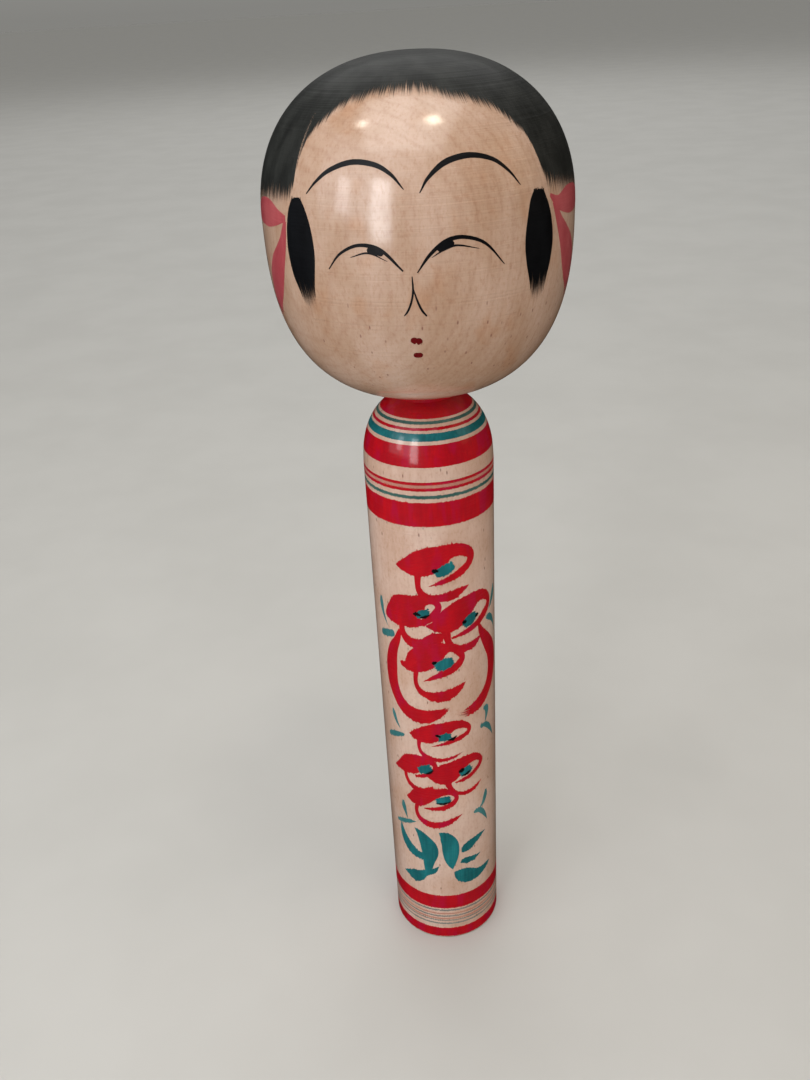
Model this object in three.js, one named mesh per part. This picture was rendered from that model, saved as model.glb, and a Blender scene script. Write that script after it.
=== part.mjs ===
// Kokeshi doll: two turned pieces of pale hardwood, a body and a head.
// Millimetres, +Z up. The origin is the centre of the foot, on the surface that the doll
// stands on, and the face looks along -Y.

import * as THREE from 'three';

// ---- driving dimensions --------------------------------------------------------------

const TOTAL_HEIGHT = 303;       // one shaku, the traditional size
const GAP = 0.3;                // between the head and everything on the body
const SEGMENTS = 48;            // steps around every turned surface

// Body: a slim post that widens a little upwards, under a rounded shoulder.
const FOOT_RADIUS = 19.4;
const SHOULDER_RADIUS = 19.9;
const FOOT_EDGE = 0.8;          // rounded lower edge
const DISH_RADIUS = 13;         // shallow hollow under the foot, so that it stands on a rim
const DISH_DEPTH = 1;
const DISH_SLOPE = 1.5;
const SHOULDER_START = 189.3;   // the rounding begins here
const SHOULDER_HEIGHT = 23.6;
const SHOULDER_POWER = 2.44;    // 2 is an ellipse, more is squarer
const NECK_RADIUS = 9;
const NECK_TOP = 213.9;         // flat seat that carries the head

// Tenon, turned in one with the body, and the blind socket that it fits in the head.
const TENON_RADIUS = 6.5;
const TENON_LENGTH = 20;
const TENON_CHAMFER = 1;
const SOCKET_CLEARANCE = 1;     // free depth over the tenon
const DRILL_TIP = 2;            // height of the cone that the drill leaves

// Head: widest a little under half way up, with a flattish crown and a fuller jaw.
const HEAD_RADIUS = 42.2;
const HEAD_SEAT = NECK_TOP + GAP;
const WIDEST_HEIGHT = 49.2;     // above the seat
const CROWN_POWER = 2.28;
const JAW_DEPTH = 49.6;         // of the full curve, which the seat cuts off flat
const JAW_POWER = 2.63;

// ---- curves --------------------------------------------------------------------------

// Radius of a rounded end: a superellipse quarter, t = 0 at full width and 1 at the tip.
function roundedRadius(radius, t, power) {
  return radius * Math.pow(1 - Math.pow(t, power), 1 / power);
}

// The share of a rounded end's length at which it has narrowed to the given radius.
function shareAtRadius(fullRadius, radius, power) {
  return Math.pow(1 - Math.pow(radius / fullRadius, power), 1 / power);
}

// Points along a rounded end, closer together towards its tip.
function roundedEnd(radius, length, power, lastShare, steps) {
  const lastAngle = Math.asin(lastShare);
  return Array.from({ length: steps + 1 }, (_, i) => {
    const t = Math.sin(lastAngle * i / steps);
    return new THREE.Vector2(roundedRadius(radius, t, power), length * t);
  });
}

// Turns a profile of (radius, height) points, from the axis to the axis, about +Z.
function turned(name, profile, material) {
  const geometry = new THREE.LatheGeometry(profile, SEGMENTS);
  geometry.rotateX(Math.PI / 2);
  const mesh = new THREE.Mesh(geometry, material);
  mesh.name = name;
  return mesh;
}

const point = (radius, height) => new THREE.Vector2(radius, height);

// ---- body ----------------------------------------------------------------------------

function bodyProfile() {
  const foot = [
    point(0, DISH_DEPTH),
    point(DISH_RADIUS, DISH_DEPTH),
    point(DISH_RADIUS + DISH_SLOPE, 0),
  ];
  const EDGE_STEPS = 3;
  const edge = Array.from({ length: EDGE_STEPS + 1 }, (_, i) => {
    const angle = i / EDGE_STEPS * Math.PI / 2;
    return point(
      FOOT_RADIUS - FOOT_EDGE * (1 - Math.sin(angle)),
      FOOT_EDGE * (1 - Math.cos(angle)),
    );
  });
  const SHOULDER_STEPS = 14;
  const lastShare = shareAtRadius(SHOULDER_RADIUS, NECK_RADIUS, SHOULDER_POWER);
  const shoulder = roundedEnd(
    SHOULDER_RADIUS, SHOULDER_HEIGHT, SHOULDER_POWER, lastShare, SHOULDER_STEPS,
  ).map((p) => point(p.x, SHOULDER_START + p.y));
  const tenonTop = NECK_TOP + TENON_LENGTH;
  const neckAndTenon = [
    point(NECK_RADIUS, NECK_TOP),
    point(TENON_RADIUS, NECK_TOP),
    point(TENON_RADIUS, tenonTop - TENON_CHAMFER),
    point(TENON_RADIUS - TENON_CHAMFER, tenonTop),
    point(0, tenonTop),
  ];
  return [...foot, ...edge, ...shoulder, ...neckAndTenon];
}

// ---- head ----------------------------------------------------------------------------

// Heights here are above the head's own seat.
function headProfile() {
  const socketRadius = TENON_RADIUS + GAP;
  const socketDepth = TENON_LENGTH - GAP + SOCKET_CLEARANCE;
  const socket = [
    point(0, socketDepth + DRILL_TIP),
    point(socketRadius, socketDepth),
    point(socketRadius, 0),
  ];
  const JAW_STEPS = 16;
  const jaw = roundedEnd(
    HEAD_RADIUS, JAW_DEPTH, JAW_POWER, WIDEST_HEIGHT / JAW_DEPTH, JAW_STEPS,
  ).map((p) => point(p.x, WIDEST_HEIGHT - p.y)).reverse();
  const CROWN_STEPS = 15;
  const crownHeight = TOTAL_HEIGHT - HEAD_SEAT - WIDEST_HEIGHT;
  const crown = roundedEnd(HEAD_RADIUS, crownHeight, CROWN_POWER, 1, CROWN_STEPS)
    .map((p) => point(p.x, WIDEST_HEIGHT + p.y));
  return [...socket, ...jaw, ...crown.slice(1)];
}

// ---- assembly ------------------------------------------------------------------------

const bodyWood = new THREE.MeshStandardMaterial({
  color: 0xd9b795, roughness: 0.42, metalness: 0,
});
const headWood = new THREE.MeshStandardMaterial({
  color: 0xdab595, roughness: 0.38, metalness: 0,
});

const body = turned('body', bodyProfile(), bodyWood);
const head = turned('head', headProfile(), headWood);
head.position.z = HEAD_SEAT;

const group = new THREE.Group();
group.add(body, head);

export default group;
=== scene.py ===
"""A turned wooden kokeshi doll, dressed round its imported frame.

Two turned pieces of pale hardwood carry everything else: bands that were painted while the
post turned on the lathe, and hair, face, ribbons, flowers and leaves that were brushed on by
hand. Each painted mark is a thin film of dye or ink that follows the wood under it.

Lengths are in millimetres until a point is placed, and in metres from there on. Places on the
wood are an angle in degrees from the front, growing towards +X, and a height above the foot.
Left and right are as the viewer sees them.
"""

import logging
import math
from collections.abc import Sequence
from dataclasses import dataclass, field
from enum import Enum

import bmesh
import bpy
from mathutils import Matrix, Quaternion, Vector, noise


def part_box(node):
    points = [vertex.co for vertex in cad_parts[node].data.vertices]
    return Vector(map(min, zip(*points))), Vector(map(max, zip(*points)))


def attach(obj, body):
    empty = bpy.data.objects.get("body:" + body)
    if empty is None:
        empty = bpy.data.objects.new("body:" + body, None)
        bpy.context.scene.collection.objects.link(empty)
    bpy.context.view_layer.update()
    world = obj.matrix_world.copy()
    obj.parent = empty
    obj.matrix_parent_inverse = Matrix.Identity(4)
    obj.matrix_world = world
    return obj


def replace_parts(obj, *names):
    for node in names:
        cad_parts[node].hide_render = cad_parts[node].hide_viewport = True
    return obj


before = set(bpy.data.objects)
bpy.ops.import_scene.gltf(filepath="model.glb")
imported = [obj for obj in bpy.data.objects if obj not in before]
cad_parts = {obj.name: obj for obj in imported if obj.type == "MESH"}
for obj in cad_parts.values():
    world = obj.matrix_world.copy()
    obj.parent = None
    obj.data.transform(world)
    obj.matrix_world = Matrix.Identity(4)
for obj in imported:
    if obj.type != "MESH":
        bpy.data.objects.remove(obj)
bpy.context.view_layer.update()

MM = 0.001
FULL_TURN = 2 * math.pi
UP = (0.0, 0.0, 1.0)
Triple = tuple[float, float, float]
Colour = Triple
Station = Triple

# A film of dye or ink stands LIFT off the wood. One that goes all the way round the axis has
# FILM_COLUMNS facets.
LIFT = 0.03
FILM_COLUMNS = 720
SAME_POINT = 0.0005 * MM
WAX_IOR = 1.75

log = logging.getLogger("kokeshi")


# ---- shader maths ---------------------------------------------------------------------


class Signal:
    """A shader socket that grows Math nodes when it is used in arithmetic."""

    def __init__(self, graph: "ShaderGraph", socket: bpy.types.NodeSocket) -> None:
        """Wrap one output socket of a graph."""
        self.graph = graph
        self.socket = socket

    def _math(self, operation: str, *values: "Signal | float") -> "Signal":
        """Return the result of one Math node."""
        return self.graph.add("ShaderNodeMath", {"operation": operation}, dict(enumerate(values)))

    def __add__(self, other: "Signal | float") -> "Signal":
        """Return self + other."""
        return self._math("ADD", self, other)

    def __radd__(self, other: float) -> "Signal":
        """Return other + self."""
        return self._math("ADD", other, self)

    def __sub__(self, other: "Signal | float") -> "Signal":
        """Return self - other."""
        return self._math("SUBTRACT", self, other)

    def __rsub__(self, other: float) -> "Signal":
        """Return other - self."""
        return self._math("SUBTRACT", other, self)

    def __mul__(self, other: "Signal | float") -> "Signal":
        """Return self * other."""
        return self._math("MULTIPLY", self, other)

    def __rmul__(self, other: float) -> "Signal":
        """Return other * self."""
        return self._math("MULTIPLY", other, self)

    def __pow__(self, other: float) -> "Signal":
        """Return self to the power other."""
        return self._math("POWER", self, other)

    def sine(self) -> "Signal":
        """Return the sine of self, in radians."""
        return self._math("SINE", self)

    def ramp(self, low: float, high: float) -> "Signal":
        """Return 0 up to low, 1 from high, and a smooth rise between."""
        settings = {"interpolation_type": "SMOOTHSTEP"}
        return self.graph.add("ShaderNodeMapRange", settings, {0: self, 1: low, 2: high})


class ShaderGraph:
    """The nodes of one material, with short ways to add the ones that the finishes use."""

    def __init__(self, name: str) -> None:
        """Start a material that holds only its output and its main shader.

        Args:
            name: The material's name.
        """
        self.material = bpy.data.materials.new(name)
        self.material.use_nodes = True
        self.tree = self.material.node_tree
        self.shader = self.tree.nodes["Principled BSDF"]
        place = self.add("ShaderNodeTexCoord", output="Object")
        self.place = self.add(
            "ShaderNodeMapping", inputs={"Vector": place, "Scale": (1 / MM, 1 / MM, 1 / MM)}
        )

    def add(
        self,
        kind: str,
        settings: dict | None = None,
        inputs: dict | None = None,
        output: int | str = 0,
    ) -> Signal:
        """Add one node.

        Args:
            kind: The node's type.
            settings: Its own properties, set before its sockets.
            inputs: Values or signals for its input sockets, by name or by index.
            output: The output socket to use.

        Returns:
            The chosen output as a signal.
        """
        node = self.tree.nodes.new(kind)
        for key, value in (settings or {}).items():
            setattr(node, key, value)
        for key, value in (inputs or {}).items():
            self.connect(node.inputs[key], value)
        return Signal(self, node.outputs[output])

    def connect(self, socket: bpy.types.NodeSocket, value: "Signal | float | Sequence") -> None:
        """Link a signal to a socket, or set the socket's own value."""
        if isinstance(value, Signal):
            self.tree.links.new(value.socket, socket)
        elif isinstance(value, tuple) and len(value) == 3 and socket.type == "RGBA":
            socket.default_value = (*value, 1.0)
        else:
            socket.default_value = value

    def stretched(self, scale: Triple, shift: Triple = (0.0, 0.0, 0.0)) -> Signal:
        """Return the place in millimetres, scaled and shifted along each axis."""
        return self.add(
            "ShaderNodeMapping", inputs={"Vector": self.place, "Scale": scale, "Location": shift}
        )

    def noise(self, place: Signal, scale: float = 1.0, detail: float = 3.0) -> Signal:
        """Return a fractal noise from 0 to 1 at a place."""
        inputs = {"Vector": place, "Scale": scale, "Detail": detail, "Roughness": 0.6}
        return self.add("ShaderNodeTexNoise", inputs=inputs)

    def vector(self, operation: str, *values: "Signal | Triple", output: int = 0) -> Signal:
        """Return one output of a Vector Math node."""
        settings = {"operation": operation}
        return self.add("ShaderNodeVectorMath", settings, dict(enumerate(values)), output)

    def mix(
        self, share: "Signal | float", low: "Signal | Colour", high: "Signal | Colour"
    ) -> Signal:
        """Return a blend of two colours."""
        settings = {"data_type": "RGBA"}
        return self.add("ShaderNodeMix", settings, {0: share, 6: low, 7: high}, 2)

    def tint(self, share: "Signal | float", colour: Signal, by: "Signal | Colour") -> Signal:
        """Return a colour multiplied by another one, by a share from 0 to 1."""
        settings = {"data_type": "RGBA", "blend_type": "MULTIPLY"}
        return self.add("ShaderNodeMix", settings, {0: share, 6: colour, 7: by}, 2)

    def radius_and_height(self) -> tuple[Signal, Signal]:
        """Return the distance from the lathe's axis and the height, in millimetres."""
        flat = self.vector("MULTIPLY", self.place, (1.0, 1.0, 0.0))
        radius = self.vector("LENGTH", flat, output=1)
        height = self.add("ShaderNodeSeparateXYZ", inputs={0: self.place}, output=2)
        return radius, height

    def lathe_marks(self, pitch: float) -> Signal:
        """Return fine ridges that run round the axis, as a cutting tool leaves them."""
        radius, height = self.radius_and_height()
        place = self.add("ShaderNodeCombineXYZ", inputs={0: radius, 1: height})
        return self.noise(place, scale=1 / pitch, detail=2.0)

    def relief(self, *layers: tuple[Signal, float]) -> None:
        """Bump the surface with layers of (pattern, depth in millimetres)."""
        normal = None
        for pattern, depth in layers:
            inputs = {"Height": pattern, "Distance": depth * MM, "Strength": 1.0}
            if normal is not None:
                inputs["Normal"] = normal
            normal = self.add("ShaderNodeBump", inputs=inputs)
        self.connect(self.shader.inputs["Normal"], normal)

    def finish(self, **sockets: "Signal | float | Colour") -> bpy.types.Material:
        """Set the main shader's sockets, named with _ for each space, and return the material."""
        for name, value in sockets.items():
            self.connect(self.shader.inputs[name.replace("_", " ")], value)
        return self.material


# ---- finishes -------------------------------------------------------------------------


@dataclass(frozen=True)
class WoodFinish:
    """Waxed pale hardwood, its grain upright in the turned piece."""

    name: str
    pale: Colour = (0.70, 0.49, 0.375)
    tan: Colour = (0.58, 0.37, 0.25)
    line: Colour = (0.66, 0.48, 0.38)
    fleck: Colour = (0.24, 0.08, 0.055)
    amber: Colour = (0.94, 0.74, 0.56)
    pith: tuple[float, float] = (-16.0, 24.0)
    ring_pitch: float = 2.1
    ring_strength: float = 0.10
    fleck_share: float = 0.52
    fleck_top: float = 400.0
    patch_strength: float = 0.42

    def rings(self, graph: ShaderGraph) -> Signal:
        """Return the annual rings: 0 in the pale wood, 1 on the dark lines."""
        wander = graph.noise(graph.stretched((0.03, 0.03, 0.012)), detail=2.0) * 9.0
        from_pith = graph.stretched((1.0, 1.0, 0.06), (-self.pith[0], -self.pith[1], 0.0))
        distance = graph.vector("LENGTH", from_pith, output=1) + wander
        wave = (distance * (FULL_TURN / self.ring_pitch)).sine() * 0.5 + 0.5
        return wave ** 6.0

    def flecks(self, graph: ShaderGraph) -> Signal:
        """Return the short dark pores, as 1 on a pore."""
        place = graph.stretched((0.55, 0.55, 0.20))
        near = graph.add("ShaderNodeTexVoronoi", inputs={"Vector": place, "Scale": 1.0})
        chance = graph.add(
            "ShaderNodeTexVoronoi", inputs={"Vector": place, "Scale": 1.0}, output="Color"
        )
        chosen = graph.add("ShaderNodeSeparateColor", inputs={0: chance}).ramp(
            self.fleck_share, self.fleck_share + 0.2
        )
        height = graph.radius_and_height()[1]
        below_top = 1.0 - height.ramp(self.fleck_top - 14, self.fleck_top)
        return (1.0 - near.ramp(0.06, 0.17)) * chosen * below_top

    def grain(self, graph: ShaderGraph) -> tuple[Signal, Signal]:
        """Return the wood's colour and its fine upright fibres."""
        fibres = graph.noise(graph.stretched((1.3, 1.3, 0.16)), detail=4.0)
        clouds = graph.noise(graph.stretched((0.05, 0.05, 0.03)), detail=3.0)
        patches = graph.noise(graph.stretched((0.10, 0.10, 0.07), (40.0, 0.0, 9.0)), detail=2.0)
        speckle = graph.noise(graph.stretched((1.3, 1.3, 0.7)), detail=3.0)
        colour = graph.mix(clouds.ramp(0.38, 0.66), self.pale, self.tan)
        colour = graph.tint(self.rings(graph) * self.ring_strength, colour, self.line)
        colour = graph.tint(fibres.ramp(0.40, 0.72) * 0.22, colour, (0.80, 0.66, 0.58))
        colour = graph.tint(speckle.ramp(0.46, 0.74) * 0.55, colour, (0.82, 0.68, 0.60))
        colour = graph.tint(patches.ramp(0.55, 0.72) * self.patch_strength, colour, self.amber)
        colour = graph.mix(self.flecks(graph) * 0.75, colour, self.fleck)
        return colour, fibres

    def material(self) -> bpy.types.Material:
        """Return the finished wood."""
        graph = ShaderGraph(self.name)
        colour, fibres = self.grain(graph)
        graph.relief((graph.lathe_marks(0.9), 0.18), (fibres, 0.02))
        return graph.finish(
            Base_Color=colour,
            Roughness=0.40 + fibres * 0.16,
            Coat_Weight=1.0,
            Coat_IOR=WAX_IOR,
            Coat_Roughness=0.15,
            Specular_IOR_Level=0.25,
        )


class Grain(Enum):
    """What the streaks in a dye or an ink follow."""

    WOOD = "the upright fibres under it"
    BRUSH = "the pull of the brush"
    MERIDIAN = "lines that run down from the crown"


@dataclass(frozen=True)
class PaintFinish:
    """A dye or an ink that lets a little of the wood's figure through."""

    name: str
    deep: Colour
    bright: Colour
    tinge: Colour | None = None
    grain: Grain = Grain.WOOD
    roughness: float = 0.36
    coat: float = 0.6
    coat_roughness: float = 0.12
    shine: float = 0.2
    runs_dry: bool = False

    def streaks(self, graph: ShaderGraph) -> Signal:
        """Return the fine streaks that the finish follows."""
        if self.grain is Grain.BRUSH:
            stroke = graph.add("ShaderNodeAttribute", {"attribute_name": "brush"}, output="Vector")
            place = graph.vector("MULTIPLY", stroke, (0.11, 3.4, 0.0))
        elif self.grain is Grain.MERIDIAN:
            flat = graph.vector("MULTIPLY", graph.place, (1.0, 1.0, 0.0))
            spoke = graph.vector("NORMALIZE", flat)
            place = graph.vector("MULTIPLY_ADD", graph.place, (0.0, 0.0, 0.07), spoke)
            place = graph.vector("MULTIPLY", place, (140.0, 140.0, 1.0))
        else:
            place = graph.stretched((1.3, 1.3, 0.08))
        return graph.noise(place, detail=3.0)

    def coverage(self, graph: ShaderGraph, streaks: Signal) -> Signal:
        """Return how far the brush still covers the wood: 1 where it is wet, 0 where it is dry."""
        stroke = graph.add("ShaderNodeAttribute", {"attribute_name": "brush"}, output="Vector")
        dryness = graph.add("ShaderNodeSeparateXYZ", inputs={0: stroke}, output=2)
        return (streaks * 3.0 - dryness * 2.6).ramp(-0.8, 0.5)

    def material(self) -> bpy.types.Material:
        """Return the finished dye or ink."""
        graph = ShaderGraph(self.name)
        streaks = self.streaks(graph)
        clouds = graph.noise(graph.stretched((0.16, 0.16, 0.07)), detail=3.0)
        share = clouds.ramp(0.35, 0.70) * 0.6 + streaks.ramp(0.35, 0.75) * 0.4
        colour = graph.mix(share, self.deep, self.bright)
        if self.tinge:
            pools = graph.noise(graph.stretched((0.22, 0.22, 0.06), (5.0, 3.0, 0.0)), detail=2.0)
            colour = graph.mix(pools.ramp(0.48, 0.66), colour, self.tinge)
        sockets: dict = {
            "Base_Color": colour,
            "Roughness": self.roughness + streaks * 0.14,
            "Coat_Weight": self.coat,
            "Coat_IOR": WAX_IOR,
            "Coat_Roughness": self.coat_roughness,
            "Specular_IOR_Level": self.shine,
        }
        if self.runs_dry:
            sockets["Alpha"] = self.coverage(graph, streaks)
        graph.relief((graph.lathe_marks(0.9), 0.14), (streaks, 0.02))
        return graph.finish(**sockets)


@dataclass(frozen=True)
class FloorFinish:
    """A plain pale studio floor."""

    name: str = "studio_floor"
    light: Colour = (0.60, 0.595, 0.57)
    dark: Colour = (0.57, 0.565, 0.54)

    def material(self) -> bpy.types.Material:
        """Return the floor's material."""
        graph = ShaderGraph(self.name)
        share = graph.noise(graph.stretched((0.01, 0.01, 0.01))).ramp(0.3, 0.7)
        return graph.finish(Base_Color=graph.mix(share, self.light, self.dark), Roughness=0.7)


# ---- turned surfaces ------------------------------------------------------------------


@dataclass(frozen=True)
class RoundedEnd:
    """A rounded end of a turned piece: a quarter of a superellipse.

    An end that narrows downwards has a negative length.
    """

    base: float
    radius: float
    length: float
    power: float

    def share(self, height: float) -> float:
        """Return how far along the end a height is, from 0 to 1."""
        return min(max((height - self.base) / self.length, 0.0), 1.0)

    def radius_at(self, height: float) -> float:
        """Return the radius at a height."""
        return self.radius * (1 - self.share(height) ** self.power) ** (1 / self.power)

    def facing(self, height: float) -> tuple[float, float]:
        """Return the unit normal at a height, as its outward and upward parts."""
        narrowing = self.radius_at(height) / self.radius
        outward = narrowing ** (self.power - 1) / self.radius
        upward = self.share(height) ** (self.power - 1) / self.length
        size = math.hypot(outward, upward)
        return outward / size, upward / size

    def profile(self, last: float, steps: int) -> list[tuple[float, float]]:
        """Return (radius, height) points from the base to a height, closer towards the tip."""
        turn = math.asin(self.share(last) ** (self.power / 2))
        shares = [math.sin(turn * i / steps) ** (2 / self.power) for i in range(steps + 1)]
        heights = [self.base + self.length * share for share in shares]
        return [(self.radius_at(height), height) for height in heights]


@dataclass(frozen=True)
class PostSurface:
    """The outside of the post: a slight taper, the rounded shoulder and the neck."""

    foot_radius: float
    shoulder: RoundedEnd
    neck_radius: float
    neck_start: float

    def radius_at(self, height: float) -> float:
        """Return the radius at a height."""
        if height < self.shoulder.base:
            share = height / self.shoulder.base
            return self.foot_radius + (self.shoulder.radius - self.foot_radius) * share
        return max(self.shoulder.radius_at(height), self.neck_radius)

    def facing(self, height: float) -> tuple[float, float]:
        """Return the unit normal at a height, as its outward and upward parts."""
        if self.shoulder.base < height < self.neck_start:
            return self.shoulder.facing(height)
        return 1.0, 0.0


@dataclass(frozen=True)
class HeadSurface:
    """The outside of the head: the crown above its widest height and the jaw below it."""

    crown: RoundedEnd
    jaw: RoundedEnd

    def end_at(self, height: float) -> RoundedEnd:
        """Return the end that a height lies on."""
        return self.crown if height >= self.crown.base else self.jaw

    def radius_at(self, height: float) -> float:
        """Return the radius at a height."""
        return self.end_at(height).radius_at(height)

    def facing(self, height: float) -> tuple[float, float]:
        """Return the unit normal at a height, as its outward and upward parts."""
        return self.end_at(height).facing(height)


Surface = PostSurface | HeadSurface


def spoke(angle: float) -> Vector:
    """Return the level unit vector at an angle in degrees from the front."""
    turn = math.radians(angle)
    return Vector((math.sin(turn), -math.cos(turn), 0.0))


def on_surface(surface: Surface, angle: float, height: float, lift: float = 0.0) -> Vector:
    """Place a point on a turned surface.

    Args:
        surface: The surface.
        angle: Degrees from the front.
        height: Millimetres above the foot.
        lift: Millimetres off the wood, along its normal.

    Returns:
        The point, in millimetres.
    """
    outward, upward = surface.facing(height)
    point = spoke(angle) * (surface.radius_at(height) + outward * lift)
    point.z = height + upward * lift
    return point


# ---- building pieces ------------------------------------------------------------------


def grid_line(place: float, lines: int) -> int:
    """Return which line of a new grid a place from -1 to 1 is on, counted from 0."""
    return round((place + 1) / 2 * lines)


@dataclass
class Piece:
    """A mesh under construction, and where it belongs when it is done."""

    name: str
    body: str
    slot: str
    crease: float = 35.0
    mesh: bmesh.types.BMesh = field(default_factory=bmesh.new)

    def done(self, material: bpy.types.Material) -> bpy.types.Object:
        """Turn the mesh into a piece that rides on its body.

        Args:
            material: The piece's finish.

        Returns:
            The new object.
        """
        for face in self.mesh.faces:
            face.smooth = True
        for edge in self.mesh.edges:
            edge.smooth = edge.calc_face_angle(0.0) < math.radians(self.crease)
        data = bpy.data.meshes.new(self.name)
        self.mesh.to_mesh(data)
        self.mesh.free()
        data.materials.append(material)
        piece = bpy.data.objects.new(self.name, data)
        bpy.context.scene.collection.objects.link(piece)
        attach(piece, self.body)
        log.info("%s: %d faces on %s", self.name, len(data.polygons), self.body)
        return piece

    def turn(self, profile: Sequence[tuple[float, float]], steps: int) -> None:
        """Turn a profile about the lathe's axis.

        Args:
            profile: (radius, height) points in millimetres, from the axis to the axis.
            steps: Facets round the axis.
        """
        places = [(0.0, -radius * MM, height * MM) for radius, height in profile]
        verts = [self.mesh.verts.new(place) for place in places]
        edges = [self.mesh.edges.new(pair) for pair in zip(verts, verts[1:])]
        bmesh.ops.spin(
            self.mesh,
            geom=verts + edges,
            cent=(0.0, 0.0, 0.0),
            axis=UP,
            angle=FULL_TURN,
            steps=steps,
            use_merge=True,
            use_duplicate=False,
        )
        bmesh.ops.remove_doubles(self.mesh, verts=self.mesh.verts, dist=SAME_POINT)
        bmesh.ops.recalc_face_normals(self.mesh, faces=self.mesh.faces)


def bleed(angle: float, height: float, seed: float) -> float:
    """Return how far dye has crept along the fibres at a place, from about -0.1 to 1."""
    fine = noise.noise(Vector((angle * 1.6, height * 0.1, seed)))
    coarse = noise.noise(Vector((angle * 0.35, height * 0.1, seed + 17.0)))
    return abs(fine) * 1.5 + coarse * 0.2


def smooth_path(stations: Sequence[Station], scale: float, steps: int) -> list[Station]:
    """Pass a smooth curve through stations.

    Args:
        stations: (angle, height, width) of each station.
        scale: Millimetres round the surface for one degree.
        steps: Steps from the first station to the last.

    Returns:
        Stations that are evenly spaced along the curve, one more than the steps.
    """
    knots = [0.0]
    for (a0, h0, _), (a1, h1, _) in zip(stations, stations[1:]):
        knots.append(knots[-1] + math.hypot((a1 - a0) * scale, h1 - h0))
    places = [Vector(station) for station in stations]
    slopes = [
        (places[min(i + 1, len(places) - 1)] - places[max(i - 1, 0)])
        / (knots[min(i + 1, len(knots) - 1)] - knots[max(i - 1, 0)])
        for i in range(len(places))
    ]
    path, span = [], 0
    for i in range(steps + 1):
        along = knots[-1] * i / steps
        while span < len(knots) - 2 and along > knots[span + 1]:
            span += 1
        size = knots[span + 1] - knots[span]
        t = (along - knots[span]) / size
        near, far = places[span], places[span + 1]
        point = (
            near * (1 + 2 * t) * (1 - t) ** 2
            + slopes[span] * (size * t * (1 - t) ** 2)
            + far * (t * t * (3 - 2 * t))
            + slopes[span + 1] * (size * t * t * (t - 1))
        )
        path.append((point.x, point.y, max(point.z, 0.0)))
    return path


@dataclass(frozen=True)
class Stroke:
    """One pull of the brush.

    A station is the brush's angle and height on the wood, and the width that it is pressed to.
    """

    stations: Sequence[Station]
    round_start: bool = False
    round_end: bool = False
    ragged_start: float = 0.0
    ragged_end: float = 0.0
    dry_from: float = 1.0

    def dryness(self, share: float) -> float:
        """Return how dry the brush is at a share of its path, from 0 to 1."""
        if share <= self.dry_from:
            return 0.0
        return (share - self.dry_from) / (1 - self.dry_from)


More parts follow.
